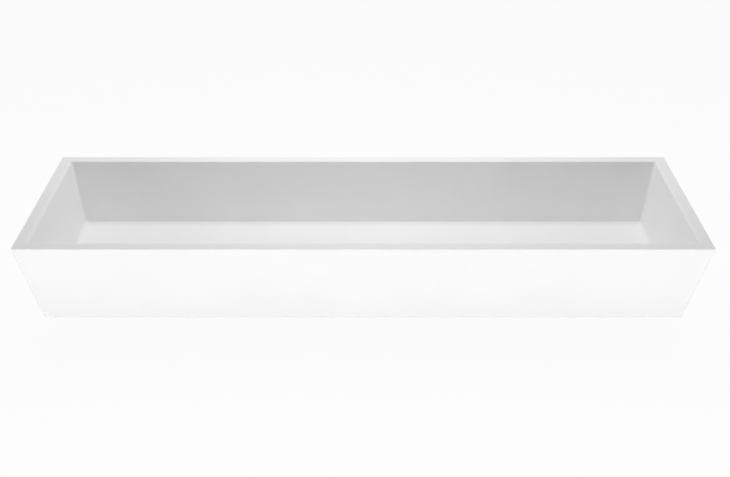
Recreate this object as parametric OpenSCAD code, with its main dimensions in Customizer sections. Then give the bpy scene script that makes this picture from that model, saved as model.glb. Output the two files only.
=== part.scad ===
// Trough sink with a free-flowing grid waste, in millimetres.
// The origin is the middle of the rim's top plane, on the axis of the waste.
// +X runs along the trough, -Y is its front and +Z is up.

/* [Basin] */
// Length of the rim, left to right
rim_length = 1220; // [900:1:1600]
// Depth of the rim, front to back
rim_depth = 392; // [320:1:520]
// Width of the rim between the apron and the bowl
rim_width = 22; // [18:0.5:40]
// Depth of the bowl at the foot of its walls
bowl_depth = 124; // [80:1:160]
// How much lower the floor lies at the waste than at the walls
floor_fall = 4; // [3:0.5:16]
// Thickness of the floor at the waste
floor_thickness = 30; // [20:1:45]
// Draft of the outer walls, in degrees from upright
outer_draft = 11.3; // [2:0.1:14]
// Draft of the bowl's walls, in degrees from upright
bowl_draft = 10.4; // [6:0.1:14]
// Plan radius of the four outer corners
outer_corner = 3; // [1:0.5:12]
// Plan radius of the four upright corners in the bowl
bowl_corner = 3; // [1:0.5:20]
// Roundover of the rim's outer edge
rim_edge = 1.2; // [0.5:0.1:5]
// Roundover between the rim and the bowl's end walls
end_mouth_edge = 7; // [1:0.5:10]
// Roundover between the rim and the bowl's long walls
long_mouth_edge = 2.5; // [0.5:0.1:8]
// Roundover of the edge round the base
base_edge = 3; // [0.5:0.1:6]
// Fillet between the end walls and the floor
end_fillet = 16; // [3:0.5:25]
// Fillet between the long walls and the floor
long_fillet = 1.5; // [1:0.5:20]
// Radius of the level floor round the waste
level_radius = 42; // [38:1:60]
// Depth of the seat for the washer, machined into the base round the hole
seat_depth = 1.5; // [0.5:0.1:3]

/* [Waste body] */
// Diameter of the hole through the floor
drain_hole = 46; // [44.5:0.1:50]
// Diameter of the waste's flange
flange_diameter = 63; // [58:0.5:68]
// Thickness of the flange at its seat
flange_thickness = 3; // [2.4:0.1:4]
// Depth of the dish from the flange's crown down to the grid
flange_dish = 2; // [0.5:0.1:2.2]
// Outer diameter of the threaded barrel
barrel_diameter = 41.9; // [40:0.1:42.4]
// Bore of the barrel above the tail socket
barrel_bore = 34.4; // [30:0.1:35]
// Height of the plain throat below the flange
throat_height = 8; // [5:0.5:16]
// How far the barrel reaches below the base
barrel_drop = 36; // [24:0.5:60]
// Height of the threaded socket in the barrel's foot
socket_height = 13.5; // [10:0.5:18]
// Width of each arm that carries the boss
arm_width = 3; // [2:0.1:5]
// Height of the arms
arm_height = 6; // [3:0.5:9]
// Number of arms
arm_count = 3; // [2:1:4]
// Diameter of the boss for the grid's screw
boss_diameter = 9; // [7.5:0.5:12]
// Height of the boss
boss_height = 9; // [7:0.5:12]

/* [Grid] */
// Diameter of the grid
grid_diameter = 39.2; // [36.5:0.1:39.6]
// Thickness of the grid
grid_thickness = 2.5; // [2.4:0.1:3.5]
// Diameter of the holes in the grid
grid_hole = 5.2; // [3.5:0.1:5.6]
// Radius of the inner ring of holes
inner_ring = 8.6; // [8.2:0.1:9]
// Radius of the outer ring of holes
outer_ring = 15; // [14.6:0.1:15.2]
// Holes in the inner ring, with twice as many in the outer ring
ring_holes = 6; // [4:1:7]
// Diameter of the screw's thread
screw_diameter = 5; // [4:0.1:5.4]
// Diameter of the screw's countersunk head
screw_head = 9.4; // [8.4:0.1:9.6]
// Length of the screw with its head
screw_length = 14; // [12:0.5:18]
// Width of the slot in the screw's head
slot_width = 1.3; // [0.8:0.1:1.8]
// Depth of the slot in the screw's head
slot_depth = 1.2; // [0.6:0.1:1.8]

/* [Seals and nut] */
// Thickness of the seal under the flange, as clamped
flange_seal_thickness = 1.2; // [0.6:0.1:2]
// Outer diameter of the seal under the flange
flange_seal_diameter = 59; // [54:0.5:62]
// Outer diameter of the rubber washer under the base
cone_washer_diameter = 62; // [54:0.5:70]
// Thickness of the rubber washer's collar
cone_washer_thickness = 4; // [2:0.5:6]
// Height of the washer's nose in the hole
nose_height = 4; // [2:0.5:6]
// Outer diameter of the slip washer
slip_washer_diameter = 60; // [52:0.5:66]
// Thickness of the slip washer
slip_washer_thickness = 2; // [1:0.1:3]
// Size of the back nut across its flats
nut_flats = 52; // [49:0.5:56]
// Height of the back nut
nut_height = 10; // [6:0.5:14]

/* [Tailpiece] */
// Outer diameter of the tail pipe
tail_diameter = 31.75; // [30:0.05:32.4]
// Wall of the tail pipe
tail_wall = 1.2; // [0.8:0.1:2]
// How far the tail pipe reaches below the barrel
tail_drop = 46; // [30:1:70]
// Diameter of the threaded collar at the pipe's head
collar_diameter = 36.2; // [35:0.1:36.8]
// Thickness of the washer above the collar
tail_washer_thickness = 1.5; // [1:0.1:2.5]

/* [Fits] */
// Gap between the flange and the rebate in the floor
rebate_gap = 0.75; // [0.3:0.05:1.2]
// Gap between the throat and the hole in the floor
throat_gap = 0.5; // [0.3:0.05:0.9]
// Gap between the rubber washer and the wall of its seat
seat_gap = 1; // [0.5:0.1:3]
// Gap between a thread and the piece that it turns in
thread_gap = 0.1; // [0.05:0.01:0.2]
// Gap between the grid and its recess
grid_gap = 0.15; // [0.1:0.05:0.3]
// Gap between the screw and the hole in the boss
screw_gap = 0.05; // [0.02:0.01:0.1]
// Gap between a washer and the barrel inside it
washer_gap = 0.2; // [0.1:0.05:0.4]

/* [Hidden] */
$fn = 96;

// Steps round each small radius of the basin, and along its sides and floor
corner_steps = 4;
edge_steps = 4;
mouth_steps = 6;
fillet_steps = 6;
floor_steps = 8;
long_side_steps = 18;
end_side_steps = 6;
// Draws the steps along a side together in its middle, where the floor closes round the waste
side_crowding = 1.4;
smallest_corner = 0.2;
cut_margin = 1;

// Levels
waste_level = -(bowl_depth + floor_fall);
base_level = waste_level - floor_thickness;
basin_height = -base_level;
flange_foot = waste_level - flange_thickness;
rebate_level = flange_foot - flange_seal_thickness;
grid_top = waste_level - flange_dish;
grid_ledge = grid_top - grid_thickness;
throat_foot = flange_foot - throat_height;
seat_level = base_level + seat_depth;
washer_foot = seat_level - cone_washer_thickness;
nut_top = washer_foot - slip_washer_thickness;
barrel_foot = base_level - barrel_drop;
socket_top = barrel_foot + socket_height;
collar_top = socket_top - tail_washer_thickness;
tail_foot = barrel_foot - tail_drop;

// Radii
hole_radius = drain_hole / 2;
flange_radius = flange_diameter / 2;
throat_radius = hole_radius - throat_gap;
barrel_radius = barrel_diameter / 2;
bore_radius = barrel_bore / 2;
grid_radius = grid_diameter / 2;
recess_radius = grid_radius + grid_gap;
collar_radius = collar_diameter / 2;
socket_radius = collar_radius + thread_gap;
tail_radius = tail_diameter / 2;
tail_bore_radius = tail_radius - tail_wall;
screw_radius = screw_diameter / 2;
head_radius = screw_head / 2;
head_height = head_radius - screw_radius;

// Small sizes on the turned and moulded pieces
flange_edge = 1;
flange_crown = 5;
turned_chamfer = 1;
arm_root = 1;
boss_gap = 0.5;
pipe_chamfer = 0.4;
seal_margin = 0.6;
nose_taper = 0.8;
nose_squeeze = 0.2;

// ---------------------------------------------------------------- basin

// How far the outer wall lies inside the rim's outer line, at a depth below the rim.
// The wall runs tangent to the rim's rounded edge.
function outer_inset(depth) =
    depth * tan(outer_draft) - rim_edge * ((1 + sin(outer_draft)) / cos(outer_draft) - 1);

// How far the bowl's wall lies inside the rim's outer line, at a depth below the rim
function bowl_inset(depth) = rim_width + depth * tan(bowl_draft);

// A section is [inset at the ends, inset at the long sides, corner radius, z at the ends,
// z at the long sides]. Most sections are the same all round.
function level_section(inset, radius, z) = [inset, inset, max(radius, smallest_corner), z, z];

// A rounded edge or fillet: its sections run from one angle to another
function arc_angles(from, to, steps) = [for (k = [0 : steps]) from + (to - from) * k / steps];

base_sections =
    let (wall = outer_inset(basin_height - base_edge), centre = wall + base_edge / cos(outer_draft))
    [for (a = arc_angles(-90, -outer_draft, edge_steps))
        let (inset = centre - base_edge * cos(a))
        level_section(inset, outer_corner + wall - inset, base_level + base_edge * (1 + sin(a)))];

outer_rim_sections =
    [for (a = arc_angles(-outer_draft, 90, edge_steps))
        let (inset = rim_edge * (1 - cos(a)))
        level_section(inset, outer_corner - inset, rim_edge * (sin(a) - 1))];

// The inset and level of a roundover of a given radius between the rim and the bowl's wall
function mouth_inset(radius, a) =
    rim_width - radius * (1 - sin(bowl_draft)) / cos(bowl_draft) + radius * sin(a);
function mouth_level(radius, a) = radius * (cos(a) - 1);

mouth_sections =
    [for (a = arc_angles(0, 90 - bowl_draft, mouth_steps))
        let (at_end = mouth_inset(end_mouth_edge, a), at_side = mouth_inset(long_mouth_edge, a))
        [at_end, at_side, bowl_corner + max(rim_width - (at_end + at_side) / 2, 0),
            mouth_level(end_mouth_edge, a), mouth_level(long_mouth_edge, a)]];

// The inset and level of a fillet of a given radius between the bowl's wall and the floor
function fillet_inset(radius, a) =
    bowl_inset(bowl_depth - radius) + radius / cos(bowl_draft) - radius * cos(a);
function fillet_level(radius, a) = -bowl_depth + radius * (1 + sin(a));

fillet_sections =
    [for (a = arc_angles(-bowl_draft, -90, fillet_steps))
        [fillet_inset(end_fillet, a), fillet_inset(long_fillet, a), bowl_corner,
            fillet_level(end_fillet, a), fillet_level(long_fillet, a)]];

// The arc of one corner. Each point is [x, y, share], where share is 1 at an end wall and
// 0 at a long wall.
function corner_arc(half_x, half_y, radius, quarter) =
    let (side_x = quarter == 0 || quarter == 3 ? 1 : -1, side_y = quarter < 2 ? 1 : -1)
    [for (k = [0 : corner_steps])
        let (a = 90 * (quarter + k / corner_steps))
        [side_x * (half_x - radius) + radius * cos(a),
            side_y * (half_y - radius) + radius * sin(a),
            pow(cos(a), 2)]];

// Moves an even step along a side towards the side's middle
function crowded(t) = (1 + sign(2 * t - 1) * pow(abs(2 * t - 1), side_crowding)) / 2;

function side_points(from, to, steps) =
    [for (k = [1 : steps - 1]) from + (to - from) * crowded(k / steps)];

// A rounded rectangle, anticlockwise from the right-hand end wall
function outline(half_x, half_y, radius) =
    let (arcs = [for (quarter = [0 : 3]) corner_arc(half_x, half_y, radius, quarter)])
    [for (quarter = [0 : 3])
        let (next = arcs[(quarter + 1) % 4], steps = quarter % 2 == 0 ? long_side_steps : end_side_steps)
        each concat(arcs[quarter], side_points(arcs[quarter][corner_steps], next[0], steps))];

function section_points(section) =
    [for (p = outline(rim_length / 2 - section[0], rim_depth / 2 - section[1], section[2]))
        [p.x, p.y, section[4] + (section[3] - section[4]) * p.z]];

// The floor eases from level at the walls to level again round the waste
function eased(t) = t * t * (3 - 2 * t);

// The floor's rings close from the foot of the fillets to a circle, each point along its own ray
function floor_ring(foot, t) =
    [for (p = foot)
        let (reach = norm([p.x, p.y]), scale_to = 1 + (level_radius / reach - 1) * t)
        [p.x * scale_to, p.y * scale_to, -bowl_depth - floor_fall * eased(t)]];

wall_rings = [for (section = concat(base_sections, outer_rim_sections, mouth_sections, fillet_sections))
    section_points(section)];
floor_rings = [for (k = [1 : floor_steps]) floor_ring(wall_rings[len(wall_rings) - 1], k / floor_steps)];

// A closed skin through rings that all have the same number of points. Its first and last
// rings are level, and close on a point on the axis.
module skin(rings) {
    count = len(rings[0]);
    last = len(rings) - 1;
    foot_centre = count * len(rings);
    head_centre = foot_centre + 1;
    points = concat([for (ring = rings) each ring], [[0, 0, rings[0][0].z], [0, 0, rings[last][0].z]]);
    bands = [for (i = [0 : last - 1], j = [0 : count - 1])
        let (here = i * count, above = here + count, next = (j + 1) % count)
        each [[here + j, above + j, above + next], [here + j, above + next, here + next]]];
    foot = [for (j = [0 : count - 1]) [foot_centre, j, (j + 1) % count]];
    head = [for (j = [0 : count - 1]) [head_centre, last * count + (j + 1) % count, last * count + j]];
    polyhedron(points = points, faces = concat(foot, bands, head));
}

// The one-piece bowl, rim and apron. The hole runs through its floor, with the flange's rebate
// above and the washer's seat below.
module basin() {
    color("whitesmoke")
    difference() {
        skin(concat(wall_rings, floor_rings));
        translate([0, 0, base_level - cut_margin])
            cylinder(r = hole_radius, h = floor_thickness + 2 * cut_margin);
        translate([0, 0, rebate_level])
            cylinder(r = flange_radius + rebate_gap, h = waste_level - rebate_level + cut_margin);
        translate([0, 0, base_level - cut_margin])
            cylinder(r = cone_washer_diameter / 2 + seat_gap, h = seat_depth + cut_margin);
    }
}

// ---------------------------------------------------------------- waste

// A flat ring with its foot at the given level
module ring(outer, inner, thickness, level) {
    translate([0, 0, level])
        difference() {
            cylinder(r = outer, h = thickness);
            translate([0, 0, -cut_margin])
                cylinder(r = inner, h = thickness + 2 * cut_margin);
        }
}

// The flange, throat and barrel as one turned profile of [radius, level] points
body_profile = concat(
    [[recess_radius, grid_top], [recess_radius, grid_ledge], [bore_radius, grid_ledge],
        [bore_radius, socket_top], [socket_radius, socket_top], [socket_radius, barrel_foot],
        [barrel_radius - turned_chamfer, barrel_foot], [barrel_radius, barrel_foot + turned_chamfer],
        [barrel_radius, throat_foot], [throat_radius, throat_foot], [throat_radius, flange_foot],
        [flange_radius, flange_foot]],
    [for (a = arc_angles(0, 90, edge_steps))
        [flange_radius - flange_edge * (1 - cos(a)), waste_level - flange_edge * (1 - sin(a))]],
    [[flange_radius - flange_crown, waste_level]]);

// The boss below the grid hangs on arms that reach into the barrel's wall
module waste_body() {
    boss_top = grid_ledge - boss_gap;
    color("silver")
    difference() {
        union() {
            rotate_extrude() polygon(body_profile);
            translate([0, 0, boss_top - boss_height])
                cylinder(d = boss_diameter, h = boss_height);
            for (k = [0 : arm_count - 1])
                rotate([0, 0, 90 + 360 * k / arm_count])
                    translate([0, -arm_width / 2, boss_top - arm_height])
                        cube([bore_radius + arm_root, arm_width, arm_height]);
        }
        translate([0, 0, boss_top - boss_height - cut_margin])
            cylinder(r = screw_radius + screw_gap, h = boss_height + 2 * cut_margin);
    }
}

// A countersink widens from the screw's shank to its head
module countersink(gap) {
    translate([0, 0, grid_top - head_height])
        cylinder(r1 = screw_radius + gap, r2 = head_radius + gap, h = head_height);
}

module strainer_grid() {
    color("silver")
    difference() {
        translate([0, 0, grid_ledge])
            cylinder(r = grid_radius, h = grid_thickness);
        for (k = [0 : ring_holes - 1])
            rotate([0, 0, 360 * k / ring_holes])
                translate([inner_ring, 0, grid_ledge - cut_margin])
                    cylinder(d = grid_hole, h = grid_thickness + 2 * cut_margin);
        for (k = [0 : 2 * ring_holes - 1])
            rotate([0, 0, 180 * (k + 0.5) / ring_holes])
                translate([outer_ring, 0, grid_ledge - cut_margin])
                    cylinder(d = grid_hole, h = grid_thickness + 2 * cut_margin);
        countersink(screw_gap);
        translate([0, 0, grid_ledge - cut_margin])
            cylinder(r = screw_radius + screw_gap, h = grid_thickness + 2 * cut_margin);
        translate([0, 0, grid_top])
            cylinder(r = head_radius + screw_gap, h = cut_margin);
    }
}

module grid_screw() {
    color("silver")
    difference() {
        union() {
            countersink(0);
            translate([0, 0, grid_top - screw_length])
                cylinder(r = screw_radius, h = screw_length - head_height);
        }
        translate([-screw_head, -slot_width / 2, grid_top - slot_depth])
            cube([2 * screw_head, slot_width, slot_depth + cut_margin]);
    }
}

module flange_seal() {
    color("dimgray")
        ring(flange_seal_diameter / 2, throat_radius + washer_gap, flange_seal_thickness, rebate_level);
}

// A rubber washer whose nose wedges up into the hole round the barrel
module cone_washer() {
    inner = barrel_radius + washer_gap;
    nose_foot = hole_radius - nose_squeeze;
    color("dimgray")
    rotate_extrude()
        polygon([[inner, washer_foot], [cone_washer_diameter / 2, washer_foot],
            [cone_washer_diameter / 2, seat_level], [nose_foot, seat_level],
            [nose_foot - nose_taper, seat_level + nose_height], [inner, seat_level + nose_height]]);
}

module slip_washer() {
    color("ivory")
        ring(slip_washer_diameter / 2, barrel_radius + washer_gap, slip_washer_thickness, nut_top);
}

// A hexagon whose corners are turned off at both faces
module back_nut() {
    corner = nut_flats / 2 / cos(30);
    inner = barrel_radius + thread_gap;
    chamfer = corner - nut_flats / 2;
    color("goldenrod")
    translate([0, 0, nut_top - nut_height])
        difference() {
            intersection() {
                cylinder(r = corner, h = nut_height, $fn = 6);
                union() {
                    cylinder(r1 = corner - chamfer, r2 = corner, h = chamfer / 2);
                    translate([0, 0, chamfer / 2])
                        cylinder(r = corner, h = nut_height - chamfer);
                    translate([0, 0, nut_height - chamfer / 2])
                        cylinder(r1 = corner, r2 = corner - chamfer, h = chamfer / 2);
                }
            }
            translate([0, 0, -cut_margin])
                cylinder(r = inner, h = nut_height + 2 * cut_margin);
        }
}

module tail_washer() {
    color("dimgray")
        ring(collar_radius, tail_bore_radius + seal_margin, tail_washer_thickness, collar_top);
}

// A thin pipe under a collar that screws into the barrel's foot
module tailpiece() {
    color("silver")
    rotate_extrude()
        polygon([[tail_bore_radius, tail_foot], [tail_radius - pipe_chamfer, tail_foot],
            [tail_radius, tail_foot + pipe_chamfer], [tail_radius, barrel_foot],
            [collar_radius, barrel_foot], [collar_radius, collar_top],
            [tail_bore_radius, collar_top]]);
}

basin();
flange_seal();
waste_body();
strainer_grid();
grid_screw();
cone_washer();
slip_washer();
back_nut();
tail_washer();
tailpiece();
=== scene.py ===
"""Trough sink with a free-flowing grid waste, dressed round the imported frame. Metres, +Z up."""
import math

import bmesh
import bpy
from mathutils import Matrix, Vector
from mathutils.geometry import delaunay_2d_cdt

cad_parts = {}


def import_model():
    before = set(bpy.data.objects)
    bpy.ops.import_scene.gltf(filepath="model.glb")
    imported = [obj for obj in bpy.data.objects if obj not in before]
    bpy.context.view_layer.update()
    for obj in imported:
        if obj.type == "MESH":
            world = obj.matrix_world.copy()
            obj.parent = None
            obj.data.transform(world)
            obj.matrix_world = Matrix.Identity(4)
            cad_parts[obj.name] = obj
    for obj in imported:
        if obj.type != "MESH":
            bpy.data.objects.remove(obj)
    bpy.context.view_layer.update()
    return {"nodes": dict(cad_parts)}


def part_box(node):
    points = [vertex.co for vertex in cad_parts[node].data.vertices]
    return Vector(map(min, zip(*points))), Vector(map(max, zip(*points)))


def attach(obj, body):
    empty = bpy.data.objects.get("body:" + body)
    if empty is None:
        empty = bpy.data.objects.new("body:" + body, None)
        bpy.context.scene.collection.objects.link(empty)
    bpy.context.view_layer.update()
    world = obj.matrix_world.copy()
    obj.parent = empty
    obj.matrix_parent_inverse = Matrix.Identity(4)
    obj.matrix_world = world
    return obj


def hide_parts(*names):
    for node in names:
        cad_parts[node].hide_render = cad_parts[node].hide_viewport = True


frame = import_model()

# ---------------------------------------------------------------- sizes

MM = 0.001
BASIN_LOW, BASIN_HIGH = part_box("basin")
BODY_LOW, BODY_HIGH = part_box("waste_body")
GRID_LOW, GRID_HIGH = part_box("strainer_grid")
SCREW_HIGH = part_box("grid_screw")[1]
WASHER_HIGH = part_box("cone_washer")[1]
TAIL_LOW, TAIL_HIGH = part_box("tailpiece")

RIM_HALF_X = BASIN_HIGH.x
RIM_HALF_Y = BASIN_HIGH.y
BASE_LEVEL = BASIN_LOW.z
RIM_WIDTH = 22 * MM
BOWL_DEPTH = 124 * MM
FLOOR_FALL = 4 * MM
OUTER_DRAFT = math.radians(11.3)
BOWL_DRAFT = math.radians(10.4)
OUTER_CORNER = 3 * MM
BOWL_CORNER = 3 * MM
RIM_EDGE = 1.2 * MM
END_MOUTH_EDGE = 7 * MM
LONG_MOUTH_EDGE = 2.5 * MM
BASE_EDGE = 3 * MM
# The source keeps 16 mm here, but the photo's bowl has nearly sharp lower corners
END_FILLET = 9 * MM
LONG_FILLET = 1.5 * MM
LEVEL_RADIUS = 42 * MM
HOLE_RADIUS = 23 * MM
REBATE_DEPTH = 4.2 * MM
REBATE_GAP = 0.75 * MM
REBATE_RADIUS = BODY_HIGH.x + REBATE_GAP
SEAT_DEPTH = 1.5 * MM
SEAT_GAP = 1 * MM
SEAT_RADIUS = WASHER_HIGH.x + SEAT_GAP
CUT_EDGE = 0.6 * MM
SMALLEST_CORNER = 0.2 * MM
WASTE_LEVEL = -(BOWL_DEPTH + FLOOR_FALL)

# Mesh steps round the basin's small radii and along its sides and floor
CORNER_STEPS = 8
EDGE_STEPS = 8
MOUTH_STEPS = 12
FILLET_STEPS = 12
FLOOR_STEPS = 20
CUT_STEPS = 4
UNDERSIDE_STEPS = 8
LONG_SIDE_STEPS = 56
END_SIDE_STEPS = 16
SIDE_CROWDING = 1.4
# How far from a rounded edge a wall's own ring lies, so that the edge's shading stays on the edge
SUPPORT = 1.2 * MM

FLANGE_RADIUS = BODY_HIGH.x
FLANGE_THICKNESS = 3 * MM
FLANGE_FOOT = WASTE_LEVEL - FLANGE_THICKNESS
FLANGE_CROWN = 5 * MM
THROAT_RADIUS = 22.5 * MM
THROAT_HEIGHT = 8 * MM
THROAT_FOOT = FLANGE_FOOT - THROAT_HEIGHT
BARREL_RADIUS = 20.95 * MM
BARREL_FOOT = BODY_LOW.z
BORE_RADIUS = 17.2 * MM
SOCKET_RADIUS = 18.2 * MM
SOCKET_DEPTH = 13.5 * MM
SOCKET_TOP = BARREL_FOOT + SOCKET_DEPTH
RECESS_GAP = 0.15 * MM
RECESS_RADIUS = GRID_HIGH.x + RECESS_GAP
THREAD_PITCH = 2.309 * MM
THREAD_DEPTH = 1.479 * MM
BOSS_RADIUS = 4.5 * MM
BOSS_GAP = 0.5 * MM
BOSS_TOP = GRID_LOW.z - BOSS_GAP
BOSS_HEIGHT = 9 * MM
ARM_WIDTH = 3 * MM
ARM_HEIGHT = 6 * MM
ARM_COUNT = 3
ARM_EDGE = 0.5 * MM
# How far an arm reaches into the boss and into the barrel's wall
ARM_OVERLAP = 1 * MM
SCREW_RADIUS = 2.5 * MM
SCREW_GAP = 0.05 * MM
HEAD_RADIUS = SCREW_HIGH.y
GRID_HOLE_RADIUS = 2.6 * MM
INNER_RING = 8.6 * MM
OUTER_RING = 15 * MM
RING_HOLES = 6
TURNED_EDGE = 0.4 * MM
FLANGE_EDGE = 2.5 * TURNED_EDGE
GRID_EDGE = 0.3 * MM
# How steeply the flange's dish ends at the grid: 1 is a cone
DISH_CURVE = 1.4

# Mesh steps of the waste, with the rows to one turn of its thread
TURN_STEPS = 96
SOFT_STEPS = 4
THREAD_ROWS = 8
HOLE_STEPS = 32
DISH_STEPS = 8
GRID_EDGE_STEPS = 3
# Turns that a thread's rows run on past its two ends, where they lie on even circles
TURNS_BELOW = 2
TURNS_ABOVE = 1
# The most of a side of a turned profile that a corner's support point takes
SUPPORT_SHARE = 0.45
# Points of two shells that are nearer than this are one point
MEETING_DISTANCE = 0.001 * MM
# What the filling of a plate's face gives: all triangles of the convex hull, within a tolerance
FILL_HULL = 0
FILL_TOLERANCE = 1e-9

# Edges with a larger angle than this, in degrees, stay sharp
BASIN_CREASE = 40
WASTE_CREASE = 50
GRID_CREASE = 25


# ---------------------------------------------------------------- mesh helpers

def bands(ring_count, ring_size, closed):
    """Faces from each ring of points to the next, and if closed from the last to the first."""
    faces = []
    for i in range(ring_count if closed else ring_count - 1):
        here = i * ring_size
        above = (i + 1) % ring_count * ring_size
        for j in range(ring_size):
            after = (j + 1) % ring_size
            faces.append((here + j, here + after, above + after, above + j))
    return faces


def merge_shells(mesh):
    """Makes points that meet one point, and turns the faces outward."""
    work = bmesh.new()
    work.from_mesh(mesh)
    bmesh.ops.remove_doubles(work, verts=work.verts, dist=MEETING_DISTANCE)
    bmesh.ops.recalc_face_normals(work, faces=work.faces)
    work.to_mesh(mesh)
    work.free()


def mesh_object(name, points, faces, crease, merged=False):
    """A smooth-shaded object that rides on the only body, with sharp edges above the crease angle."""
    mesh = bpy.data.meshes.new(name)
    mesh.from_pydata([tuple(p) for p in points], [], faces)
    mesh.validate()
    if merged:
        merge_shells(mesh)
    mesh.shade_smooth()
    mesh.set_sharp_from_angle(angle=math.radians(crease))
    piece = bpy.data.objects.new(name, mesh)
    bpy.context.scene.collection.objects.link(piece)
    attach(piece, "root")
    return piece


def arc(start, end, steps):
    """Even angles in radians, from a start to an end in degrees."""
    return [math.radians(start + (end - start) * k / steps) for k in range(steps + 1)]


# ---------------------------------------------------------------- basin

def outer_inset(depth):
    """How far the outer wall lies inside the rim's outer line. It runs tangent to the rim's edge."""
    gain = RIM_EDGE * ((1 + math.sin(OUTER_DRAFT)) / math.cos(OUTER_DRAFT) - 1)
    return depth * math.tan(OUTER_DRAFT) - gain


def bowl_inset(depth):
    """How far the bowl's wall lies inside the rim's outer line."""
    return RIM_WIDTH + depth * math.tan(BOWL_DRAFT)


def section(inset, corner, level):
    """One ring's [inset at ends, inset at long sides, corner radius, end level, long side level]."""
    return (inset, inset, max(corner, SMALLEST_CORNER), level, level)


def base_sections():
    wall = outer_inset(-BASE_LEVEL - BASE_EDGE)
    centre = wall + BASE_EDGE / math.cos(OUTER_DRAFT)
    made = [section(centre + SUPPORT, SMALLEST_CORNER, BASE_LEVEL)]
    for a in arc(-90, -math.degrees(OUTER_DRAFT), EDGE_STEPS):
        inset = centre - BASE_EDGE * math.cos(a)
        level = BASE_LEVEL + BASE_EDGE * (1 + math.sin(a))
        made.append(section(inset, OUTER_CORNER + wall - inset, level))
    return made


def outer_wall_sections():
    top = RIM_EDGE + SUPPORT
    foot = -BASE_LEVEL - BASE_EDGE - SUPPORT
    return [section(outer_inset(depth), OUTER_CORNER, -depth) for depth in (foot, (foot + top) / 2, top)]


def outer_rim_sections():
    made = []
    for a in arc(-math.degrees(OUTER_DRAFT), 90, EDGE_STEPS):
        inset = RIM_EDGE * (1 - math.cos(a))
        made.append(section(inset, OUTER_CORNER - inset, RIM_EDGE * (math.sin(a) - 1)))
    made.append(section(RIM_EDGE + SUPPORT, SMALLEST_CORNER, 0))
    return made


def mouth_inset(radius, a):
    return RIM_WIDTH - radius * (1 - math.sin(BOWL_DRAFT)) / math.cos(BOWL_DRAFT) + radius * math.sin(a)


def mouth_corner(at_end, at_side):
    return BOWL_CORNER + max(RIM_WIDTH - (at_end + at_side) / 2, 0)


def mouth_sections():
    at_end, at_side = mouth_inset(END_MOUTH_EDGE, 0) - SUPPORT, mouth_inset(LONG_MOUTH_EDGE, 0) - SUPPORT
    made = [(at_end, at_side, mouth_corner(at_end, at_side), 0, 0)]
    for a in arc(0, 90 - math.degrees(BOWL_DRAFT), MOUTH_STEPS):
        at_end, at_side = mouth_inset(END_MOUTH_EDGE, a), mouth_inset(LONG_MOUTH_EDGE, a)
        fall = math.cos(a) - 1
        corner = mouth_corner(at_end, at_side)
        made.append((at_end, at_side, corner, END_MOUTH_EDGE * fall, LONG_MOUTH_EDGE * fall))
    return made


def fillet_reach(radius, a):
    return bowl_inset(BOWL_DEPTH - radius) + radius / math.cos(BOWL_DRAFT) - radius * math.cos(a)


def fillet_level(radius, a):
    return -BOWL_DEPTH + radius * (1 + math.sin(a))


def bowl_wall_sections():
    """Rings down the bowl's walls, which end just above the two fillets' own levels."""
    end_start, long_start = END_MOUTH_EDGE + SUPPORT, LONG_MOUTH_EDGE + SUPPORT
    end_stop = -fillet_level(END_FILLET, -BOWL_DRAFT) - SUPPORT
    long_stop = -fillet_level(LONG_FILLET, -BOWL_DRAFT) - SUPPORT
    made = []
    for share in (0, 0.5, 1):
        end_depth = end_start + (end_stop - end_start) * share
        long_depth = long_start + (long_stop - long_start) * share
        at_end, at_side = bowl_inset(end_depth), bowl_inset(long_depth)
        made.append((at_end, at_side, BOWL_CORNER, -end_depth, -long_depth))
    return made


def fillet_sections():
    return [
        (
            fillet_reach(END_FILLET, a),
            fillet_reach(LONG_FILLET, a),
            BOWL_CORNER,
            fillet_level(END_FILLET, a),
            fillet_level(LONG_FILLET, a),
        )
        for a in arc(-math.degrees(BOWL_DRAFT), -90, FILLET_STEPS)
    ]


def crowded(t):
    """Moves an even step along a side towards the side's middle."""
    offset = 2 * t - 1
    return (1 + math.copysign(abs(offset) ** SIDE_CROWDING, offset)) / 2


def outline(half_x, half_y, radius):
    """A rounded rectangle of (x, y, share of the end walls), anticlockwise from the right-hand end."""
    arcs = []
    for quarter in range(4):
        side_x = 1 if quarter in (0, 3) else -1
        side_y = 1 if quarter < 2 else -1
        corner = []
        for k in range(CORNER_STEPS + 1):
            a = math.radians(90 * (quarter + k / CORNER_STEPS))
            x = side_x * (half_x - radius) + radius * math.cos(a)
            y = side_y * (half_y - radius) + radius * math.sin(a)
            corner.append((x, y, math.cos(a) ** 2))
        arcs.append(corner)
    made = []
    for quarter in range(4):
        made += arcs[quarter]
        start, end = Vector(arcs[quarter][-1]), Vector(arcs[(quarter + 1) % 4][0])
        steps = LONG_SIDE_STEPS if quarter % 2 == 0 else END_SIDE_STEPS
        near = SUPPORT / (end - start).length
        shares = [near] + [crowded(k / steps) for k in range(1, steps)] + [1 - near]
        made += [tuple(start.lerp(end, share)) for share in shares]
    return made


def section_ring(cut):
    end_inset, long_inset, corner, end_level, long_level = cut
    return [
        (x, y, long_level + (end_level - long_level) * share)
        for x, y, share in outline(RIM_HALF_X - end_inset, RIM_HALF_Y - long_inset, corner)
    ]


def toward_circle(ring, radius, share, level):
    """Moves each point along its own ray towards a circle round the waste."""
    made = []
    for x, y, _ in ring:
        scale = 1 + (radius / math.hypot(x, y) - 1) * share
        made.append((x * scale, y * scale, level))
    return made


def eased(t):
    return t * t * (3 - 2 * t)


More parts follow.
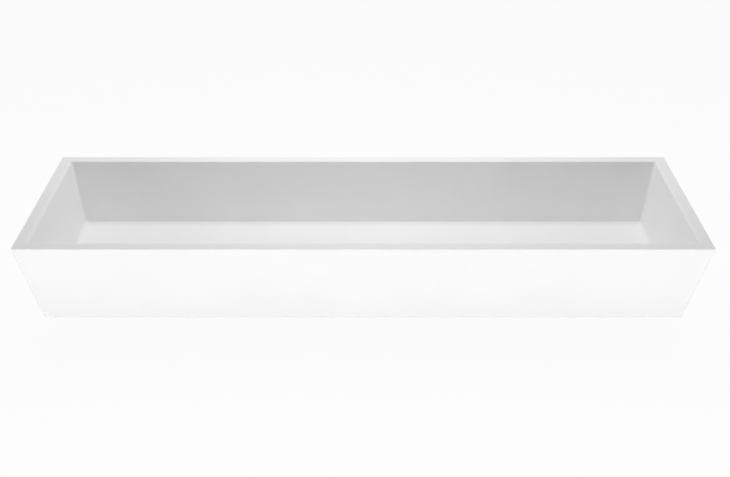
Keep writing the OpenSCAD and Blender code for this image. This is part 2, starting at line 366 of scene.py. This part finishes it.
def cut_profile():
    """The [radius, level] points of the flange's rebate, the hole and the washer's seat."""
    rebate_level = WASTE_LEVEL - REBATE_DEPTH
    seat_level = BASE_LEVEL + SEAT_DEPTH
    edge = [(CUT_EDGE * (1 - math.sin(a)), CUT_EDGE * (1 - math.cos(a))) for a in arc(0, 90, CUT_STEPS)]
    rebate_edge = [(REBATE_RADIUS + out, WASTE_LEVEL - inward) for out, inward in edge]
    seat_edge = [(SEAT_RADIUS + out, BASE_LEVEL + inward) for out, inward in edge]
    hole = [(REBATE_RADIUS, rebate_level), (HOLE_RADIUS, rebate_level), (HOLE_RADIUS, seat_level)]
    return rebate_edge + hole + [(SEAT_RADIUS, seat_level)] + seat_edge[::-1]


def basin_rings():
    cuts = base_sections() + outer_wall_sections() + outer_rim_sections() + mouth_sections()
    rings = [section_ring(cut) for cut in cuts + bowl_wall_sections() + fillet_sections()]
    base, foot = rings[0], rings[-1]
    for k in range(1, FLOOR_STEPS + 1):
        share = k / FLOOR_STEPS
        rings.append(toward_circle(foot, LEVEL_RADIUS, share, -BOWL_DEPTH - FLOOR_FALL * eased(share)))
    rings += [toward_circle(foot, radius, 1, level) for radius, level in cut_profile()]
    for k in range(UNDERSIDE_STEPS - 1, 0, -1):
        rings.append(toward_circle(base, SEAT_RADIUS + CUT_EDGE, k / UNDERSIDE_STEPS, BASE_LEVEL))
    return rings


def basin():
    rings = basin_rings()
    points = [p for ring in rings for p in ring]
    faces = bands(len(rings), len(rings[0]), True)
    piece = mesh_object("basin_casting", points, faces, BASIN_CREASE)
    piece.data.materials.append(cast_white())
    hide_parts("basin")


# ---------------------------------------------------------------- waste

def softened(corners):
    """Rounds the corners [radius, level, edge] of a turned profile, with a support point by each arc."""
    made = []
    for i, (radius, level, edge) in enumerate(corners):
        here = Vector((radius, level))
        if edge == 0:
            made.append(here)
            continue
        before = Vector(corners[i - 1][:2]) - here
        after = Vector(corners[(i + 1) % len(corners)][:2]) - here
        half = before.angle(after) / 2
        reach = edge / math.tan(half)
        back, onward = before.normalized(), after.normalized()
        centre = here + (back + onward).normalized() * edge / math.sin(half)
        start = (here + back * reach - centre).normalized()
        end = (here + onward * reach - centre).normalized()
        made.append(here + back * min(reach + edge, before.length * SUPPORT_SHARE))
        made += [centre + start.slerp(end, k / SOFT_STEPS) * edge for k in range(SOFT_STEPS + 1)]
        made.append(here + onward * min(reach + edge, after.length * SUPPORT_SHARE))
    return made


def turned(profile, closed):
    """The points and faces of a profile turned about the waste's axis."""
    points = []
    for radius, level in profile:
        for j in range(TURN_STEPS):
            a = math.tau * j / TURN_STEPS
            points.append((radius * math.cos(a), radius * math.sin(a), level))
    return points, bands(len(profile), TURN_STEPS, closed)


def thread(crest, root, top, foot):
    """A screw thread whose rows follow the helix. It fades out at both ends, on even circles."""
    turns = math.ceil((top - foot) / THREAD_PITCH)
    rows = (TURNS_BELOW + turns + TURNS_ABOVE) * THREAD_ROWS
    points, faces = [], []
    for j in range(TURN_STEPS):
        a = math.tau * j / TURN_STEPS
        for k in range(rows):
            level = foot + THREAD_PITCH * (k / THREAD_ROWS + j / TURN_STEPS - TURNS_BELOW)
            level = min(max(level, foot), top)
            fade = min(level - foot, top - level, THREAD_PITCH) / THREAD_PITCH
            radius = root + (crest - root) * fade * (1 - math.cos(math.tau * k / THREAD_ROWS)) / 2
            points.append((radius * math.cos(a), radius * math.sin(a), level))
    for j in range(TURN_STEPS):
        # Past the last column the helix has risen by a whole turn of rows
        following = (j + 1) % TURN_STEPS * rows
        shift = THREAD_ROWS if j == TURN_STEPS - 1 else 0
        for k in range(rows - 1 - shift):
            here = j * rows + k
            across = following + k + shift
            faces.append((here, across, across + 1, here + 1))
    return points, faces


def arm(angle):
    """A bar from inside the boss into the barrel's wall."""
    inner, outer = SCREW_RADIUS + ARM_OVERLAP, BORE_RADIUS + ARM_OVERLAP
    half = ARM_WIDTH / 2
    flat = half - ARM_EDGE
    foot = BOSS_TOP - ARM_HEIGHT
    section_line = [
        (-flat, BOSS_TOP), (flat, BOSS_TOP),
        (half, BOSS_TOP - ARM_EDGE), (half, foot + ARM_EDGE),
        (flat, foot), (-flat, foot),
        (-half, foot + ARM_EDGE), (-half, BOSS_TOP - ARM_EDGE),
    ]
    turn = Matrix.Rotation(angle, 3, "Z")
    points = [tuple(turn @ Vector((x, y, z))) for x in (inner, outer) for y, z in section_line]
    count = len(section_line)
    faces = [(j, (j + 1) % count, count + (j + 1) % count, count + j) for j in range(count)]
    faces += [tuple(range(count)), tuple(range(2 * count - 1, count - 1, -1))]
    return points, faces


def joined(name, shells, crease):
    """One object from several shells."""
    points, faces = [], []
    for some_points, some_faces in shells:
        offset = len(points)
        points += some_points
        faces += [tuple(offset + i for i in face) for face in some_faces]
    return mesh_object(name, points, faces, crease, merged=True)


def dish():
    """The flange's crown, eased down to the grid's recess."""
    outer, inner = FLANGE_RADIUS - FLANGE_CROWN, RECESS_RADIUS
    made = []
    for k in range(DISH_STEPS + 1):
        t = k / DISH_STEPS
        level = WASTE_LEVEL + (GRID_HIGH.z - WASTE_LEVEL) * t ** DISH_CURVE
        made.append(Vector((outer + (inner - outer) * t, level)))
    return made


def waste_body(chrome):
    root = BARREL_RADIUS - THREAD_DEPTH
    upper = softened([
        (root, THROAT_FOOT, 0),
        (THROAT_RADIUS, THROAT_FOOT, TURNED_EDGE),
        (THROAT_RADIUS, FLANGE_FOOT, 0),
        (FLANGE_RADIUS, FLANGE_FOOT, TURNED_EDGE),
        (FLANGE_RADIUS, WASTE_LEVEL, FLANGE_EDGE),
        (FLANGE_RADIUS - FLANGE_CROWN, WASTE_LEVEL, 0),
    ])
    lower = softened([
        (RECESS_RADIUS, GRID_HIGH.z, 0),
        (RECESS_RADIUS, GRID_LOW.z, 0),
        (BORE_RADIUS, GRID_LOW.z, TURNED_EDGE),
        (BORE_RADIUS, SOCKET_TOP, TURNED_EDGE),
        (SOCKET_RADIUS, SOCKET_TOP, 0),
        (SOCKET_RADIUS, BARREL_FOOT, TURNED_EDGE),
        (root, BARREL_FOOT, 0),
    ])
    hole = SCREW_RADIUS + SCREW_GAP
    boss_foot = BOSS_TOP - BOSS_HEIGHT
    boss = softened([
        (hole, BOSS_TOP, 0),
        (BOSS_RADIUS, BOSS_TOP, TURNED_EDGE),
        (BOSS_RADIUS, boss_foot, TURNED_EDGE),
        (hole, boss_foot, 0),
    ])
    shells = [turned(upper + dish() + lower, False)]
    shells.append(thread(BARREL_RADIUS, root, THROAT_FOOT, BARREL_FOOT))
    shells.append(turned(boss, True))
    shells += [arm(math.radians(90) + math.tau * k / ARM_COUNT) for k in range(ARM_COUNT)]
    piece = joined("waste_turning", shells, WASTE_CREASE)
    piece.data.materials.append(chrome)
    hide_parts("waste_body")


def circle(x, y, radius, level, steps):
    angles = [math.tau * k / steps for k in range(steps)]
    return [(x + radius * math.cos(a), y + radius * math.sin(a), level) for a in angles]


def grid_openings():
    """The centre of each water hole."""
    places = [(INNER_RING, k / RING_HOLES) for k in range(RING_HOLES)]
    places += [(OUTER_RING, (k + 0.5) / (2 * RING_HOLES)) for k in range(2 * RING_HOLES)]
    centres = []
    for reach, turn in places:
        centres.append((reach * math.cos(math.tau * turn), reach * math.sin(math.tau * turn)))
    return centres


def plate_face(level, rings, holes, upward):
    """A flat face between an outer circle and its holes, given as circles and as [centre, radius]."""
    points = [p for ring in rings for p in ring]
    edges = []
    first = 0
    for ring in rings:
        edges += [(first + k, first + (k + 1) % len(ring)) for k in range(len(ring))]
        first += len(ring)
    flat = [Vector(p[:2]) for p in points]
    filled, _, triangles, _, _, _ = delaunay_2d_cdt(flat, edges, [], FILL_HULL, FILL_TOLERANCE)
    faces = []
    for triangle in triangles:
        middle = sum((filled[i] for i in triangle), Vector((0, 0))) / 3
        if all((middle - Vector(place)).length > reach for place, reach in holes):
            faces.append(tuple(triangle) if upward else tuple(reversed(triangle)))
    return [(p.x, p.y, level) for p in filled], faces


def tube(rings):
    """An open band through circles of equally many points."""
    return [p for ring in rings for p in ring], bands(len(rings), len(rings[0]), False)


def edge_rings(x, y, radius, steps, outward):
    """Circles down a wall of the plate, with both its edges rounded."""
    made = []
    for a in arc(0, 90, GRID_EDGE_STEPS):
        reach = radius + outward * GRID_EDGE * (1 - math.sin(a))
        made.append(circle(x, y, reach, GRID_HIGH.z - GRID_EDGE * (1 - math.cos(a)), steps))
    for a in arc(90, 0, GRID_EDGE_STEPS):
        reach = radius + outward * GRID_EDGE * (1 - math.sin(a))
        made.append(circle(x, y, reach, GRID_LOW.z + GRID_EDGE * (1 - math.cos(a)), steps))
    return made


def strainer_grid(chrome):
    """The perforated plate, countersunk for its screw."""
    walls = [edge_rings(x, y, GRID_HOLE_RADIUS, HOLE_STEPS, 1) for x, y in grid_openings()]
    walls.append(edge_rings(0, 0, GRID_HIGH.x, TURN_STEPS, -1))
    head, shank = HEAD_RADIUS + SCREW_GAP, SCREW_RADIUS + SCREW_GAP
    sink = [
        circle(0, 0, head, GRID_HIGH.z, TURN_STEPS),
        circle(0, 0, shank, GRID_HIGH.z - (head - shank), TURN_STEPS),
        circle(0, 0, shank, GRID_LOW.z, TURN_STEPS),
    ]
    holes = [(place, GRID_HOLE_RADIUS + GRID_EDGE) for place in grid_openings()]
    top_rings = [wall[0] for wall in walls] + [sink[0]]
    foot_rings = [wall[-1] for wall in walls] + [sink[-1]]
    top = plate_face(GRID_HIGH.z, top_rings, holes + [((0, 0), head)], True)
    foot = plate_face(GRID_LOW.z, foot_rings, holes + [((0, 0), shank)], False)
    shells = [top, foot, tube(sink)] + [tube(wall) for wall in walls]
    piece = joined("grid_plate", shells, GRID_CREASE)
    piece.data.materials.append(chrome)
    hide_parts("strainer_grid")


# ---------------------------------------------------------------- materials

# Where nearly all of a noise's values lie
NOISE_LOW, NOISE_HIGH = 0.35, 0.65
NOISE_ROUGHNESS = 0.5


def new_material(name):
    made = bpy.data.materials.new(name)
    made.use_nodes = True
    tree = made.node_tree
    return made, tree, tree.nodes["Principled BSDF"]


def noise(tree, scale, detail):
    """Noise in the object's own metres."""
    place = tree.nodes.new("ShaderNodeTexCoord")
    texture = tree.nodes.new("ShaderNodeTexNoise")
    texture.inputs["Scale"].default_value = scale
    texture.inputs["Detail"].default_value = detail
    texture.inputs["Roughness"].default_value = NOISE_ROUGHNESS
    tree.links.new(place.outputs["Object"], texture.inputs["Vector"])
    return texture.outputs["Fac"]


def spread(tree, value, low, high):
    """Maps a noise to the range from low to high."""
    node = tree.nodes.new("ShaderNodeMapRange")
    node.inputs["From Min"].default_value = NOISE_LOW
    node.inputs["From Max"].default_value = NOISE_HIGH
    node.inputs["To Min"].default_value = low
    node.inputs["To Max"].default_value = high
    tree.links.new(value, node.inputs["Value"])
    return node.outputs["Result"]


def blend_colours(tree, share, first, second):
    node = tree.nodes.new("ShaderNodeMix")
    node.data_type = "RGBA"
    node.inputs["A"].default_value = (*first, 1)
    node.inputs["B"].default_value = (*second, 1)
    tree.links.new(share, node.inputs["Factor"])
    return node.outputs["Result"]


def bump(tree, shader, height, distance, strength):
    node = tree.nodes.new("ShaderNodeBump")
    node.inputs["Distance"].default_value = distance
    node.inputs["Strength"].default_value = strength
    tree.links.new(height, node.inputs["Height"])
    tree.links.new(node.outputs["Normal"], shader.inputs["Normal"])


def cast_white():
    """Matte white cast surface: faint clouding, a satin that varies slightly and a fine tooth."""
    made, tree, shader = new_material("cast_white")
    clouding = spread(tree, noise(tree, scale=9, detail=5), 0, 1)
    colour = blend_colours(tree, clouding, (0.911, 0.911, 0.91), (0.928, 0.928, 0.927))
    satin = spread(tree, noise(tree, scale=40, detail=6), 0.4, 0.52)
    tree.links.new(colour, shader.inputs["Base Color"])
    tree.links.new(satin, shader.inputs["Roughness"])
    shader.inputs["Specular IOR Level"].default_value = 0.25
    bump(tree, shader, noise(tree, scale=900, detail=3), distance=0.02 * MM, strength=0.35)
    return made


def metal(name, first, second, rough, grain):
    """A metal between two colours and two roughnesses, with a fine grain."""
    made, tree, shader = new_material(name)
    shader.inputs["Metallic"].default_value = 1
    colour = blend_colours(tree, spread(tree, noise(tree, scale=60, detail=4), 0, 1), first, second)
    sheen = spread(tree, noise(tree, scale=180, detail=5), *rough)
    tree.links.new(colour, shader.inputs["Base Color"])
    tree.links.new(sheen, shader.inputs["Roughness"])
    bump(tree, shader, noise(tree, scale=grain, detail=4), distance=0.02 * MM, strength=0.3)
    return made


def moulded(name, first, second, rough, tooth):
    """A rubber or plastic between two colours and two roughnesses, with the tooth of its mould."""
    made, tree, shader = new_material(name)
    colour = blend_colours(tree, spread(tree, noise(tree, scale=90, detail=5), 0, 1), first, second)
    sheen = spread(tree, noise(tree, scale=240, detail=5), *rough)
    tree.links.new(colour, shader.inputs["Base Color"])
    tree.links.new(sheen, shader.inputs["Roughness"])
    bump(tree, shader, noise(tree, scale=tooth, detail=4), distance=0.05 * MM, strength=0.4)
    return made


def dress(node, material):
    """Gives a CAD node its finish."""
    piece = frame["nodes"][node]
    piece.data.materials.clear()
    piece.data.materials.append(material)


# ---------------------------------------------------------------- stage, lights and camera

FLOOR_LEVEL = TAIL_LOW.z
FLOOR_SPAN = 9.0
FLOOR_COLOUR = (0.86, 0.86, 0.86, 1)
# The floor's own white where it is seen. The rest is the light and shadow that falls on it
FLOOR_GLOW = 0.95
# The world where it is seen, level with the lit floor, and where it lights the sink
SEEN_WHITE = 0.97
AMBIENT = 0.37
# Name, place, target, width, height, radiance and beam angle of each lamp
LAMPS = [
    ("overhead", (0, 0.3, 0.9), (0, 0.1, -0.1), 1.6, 0.4, 3.3, 180),
    ("front_low", (0, -1.2, -0.08), (0, 0, -0.08), 5, 0.1, 6.7, 120),
    ("centre_beam", (0, -0.5, 0.9), (0, 0.17, -0.06), 0.3, 0.2, 0.44, 50),
]


def math_node(tree, operation, first, second):
    """A Math node's output. Its second value may be a plain number."""
    node = tree.nodes.new("ShaderNodeMath")
    node.operation = operation
    tree.links.new(first, node.inputs[0])
    if isinstance(second, float):
        node.inputs[1].default_value = second
    else:
        tree.links.new(second, node.inputs[1])
    return node.outputs[0]


def seen_share(tree):
    """1 for rays from the camera, a reflection or a transmission, and 0 for diffuse light."""
    rays = tree.nodes.new("ShaderNodeLightPath").outputs
    direct = math_node(tree, "MAXIMUM", rays["Is Camera Ray"], rays["Is Glossy Ray"])
    return math_node(tree, "MAXIMUM", direct, rays["Is Transmission Ray"])


def glow_with_painted_shade_disc(tree):
    """The floor's glow, which leaves out the disc that shows through the open tailpiece: a painted shade
    under the tube, where the floor shows only the light and real shadow that fall on it.
    """
    place = tree.nodes.new("ShaderNodeTexCoord")
    reach = tree.nodes.new("ShaderNodeVectorMath")
    reach.operation = "LENGTH"
    tree.links.new(place.outputs["Object"], reach.inputs[0])
    outside = math_node(tree, "GREATER_THAN", reach.outputs["Value"], TAIL_HIGH.x)
    return math_node(tree, "MULTIPLY", outside, FLOOR_GLOW)


def floor_material():
    """White where it is seen, with part of the light and shadow that falls on it, and a painted shade in
    the disc under the open tailpiece.
    """
    made, tree, shader = new_material("studio_floor")
    shader.inputs["Base Color"].default_value = FLOOR_COLOUR
    shader.inputs["Roughness"].default_value = 1
    glow = tree.nodes.new("ShaderNodeEmission")
    glow.inputs["Strength"].default_value = 1
    # The glow's share, left out in the painted-shade disc under the tailpiece
    seen = math_node(tree, "MULTIPLY", seen_share(tree), glow_with_painted_shade_disc(tree))
    mix = tree.nodes.new("ShaderNodeMixShader")
    tree.links.new(seen, mix.inputs["Fac"])
    tree.links.new(shader.outputs[0], mix.inputs[1])
    tree.links.new(glow.outputs[0], mix.inputs[2])
    tree.links.new(mix.outputs[0], tree.nodes["Material Output"].inputs["Surface"])
    return made


def stage():
    half = FLOOR_SPAN / 2
    corners = [(-half, -half), (half, -half), (half, half), (-half, half)]
    mesh = bpy.data.meshes.new("studio_floor")
    mesh.from_pydata([(x, y, 0) for x, y in corners], [], [(0, 1, 2, 3)])
    mesh.materials.append(floor_material())
    floor = bpy.data.objects.new("studio_floor", mesh)
    floor.location.z = FLOOR_LEVEL
    bpy.context.scene.collection.objects.link(floor)


def world():
    made = bpy.data.worlds.new("studio")
    bpy.context.scene.world = made
    made.use_nodes = True
    tree = made.node_tree
    background = tree.nodes["Background"]
    background.inputs["Color"].default_value = (1, 1, 1, 1)
    level = tree.nodes.new("ShaderNodeMapRange")
    level.inputs["To Min"].default_value = AMBIENT
    level.inputs["To Max"].default_value = SEEN_WHITE
    tree.links.new(seen_share(tree), level.inputs["Value"])
    tree.links.new(level.outputs["Result"], background.inputs["Strength"])


def soft_box(name, place, target, width, height, radiance, beam):
    """An area lamp with a given radiance at any size, a beam angle in degrees and no reflection."""
    lamp = bpy.data.lights.new(name, "AREA")
    lamp.shape = "RECTANGLE"
    lamp.size = width
    lamp.size_y = height
    lamp.energy = radiance * width * height * math.pi
    lamp.spread = math.radians(beam)
    holder = bpy.data.objects.new(name, lamp)
    holder.location = place
    holder.rotation_euler = (Vector(target) - Vector(place)).to_track_quat("-Z", "Y").to_euler()
    holder.visible_camera = False
    holder.visible_glossy = False
    bpy.context.scene.collection.objects.link(holder)


CAMERA_BACK = 1.937
CAMERA_UP = 0.947
CAMERA_TILT = 28
FOCAL_PIXELS = 1147
FRAME_WIDTH_PIXELS = 730
SENSOR = 36
# The photograph's middle lies 1.8 pixels to the right of the sink's
CENTRE_PIXEL_X = 363.2


def camera():
    lens = bpy.data.cameras.new("view")
    lens.sensor_width = SENSOR
    lens.lens = SENSOR * FOCAL_PIXELS / FRAME_WIDTH_PIXELS
    lens.shift_x = (FRAME_WIDTH_PIXELS / 2 - CENTRE_PIXEL_X) / FRAME_WIDTH_PIXELS
    holder = bpy.data.objects.new("view", lens)
    holder.location = (0, -CAMERA_BACK, CAMERA_UP)
    holder.rotation_euler = (math.radians(90 - CAMERA_TILT), 0, 0)
    bpy.context.scene.collection.objects.link(holder)
    bpy.context.scene.camera = holder


# ---------------------------------------------------------------- scene

camera()
basin()
chrome = metal("chrome_plate", (0.59, 0.6, 0.61), (0.65, 0.66, 0.67), rough=(0.06, 0.12), grain=500)
steel = metal("steel_screw", (0.62, 0.62, 0.63), (0.72, 0.72, 0.73), rough=(0.2, 0.3), grain=900)
brass = metal("plain_brass", (0.76, 0.6, 0.3), (0.83, 0.68, 0.38), rough=(0.22, 0.36), grain=700)
rubber = moulded(
    "black_rubber", (0.022, 0.022, 0.023), (0.035, 0.035, 0.036), rough=(0.6, 0.78), tooth=1500
)
nylon = moulded("white_nylon", (0.78, 0.77, 0.72), (0.84, 0.83, 0.79), rough=(0.4, 0.52), tooth=1200)
waste_body(chrome)
strainer_grid(chrome)
dress("tailpiece", chrome)
dress("grid_screw", steel)
dress("back_nut", brass)
dress("flange_seal", rubber)
dress("cone_washer", rubber)
dress("tail_washer", rubber)
dress("slip_washer", nylon)
stage()
world()
for lamp in LAMPS:
    soft_box(*lamp)

view_settings = bpy.context.scene.view_settings
view_settings.view_transform = "Standard"
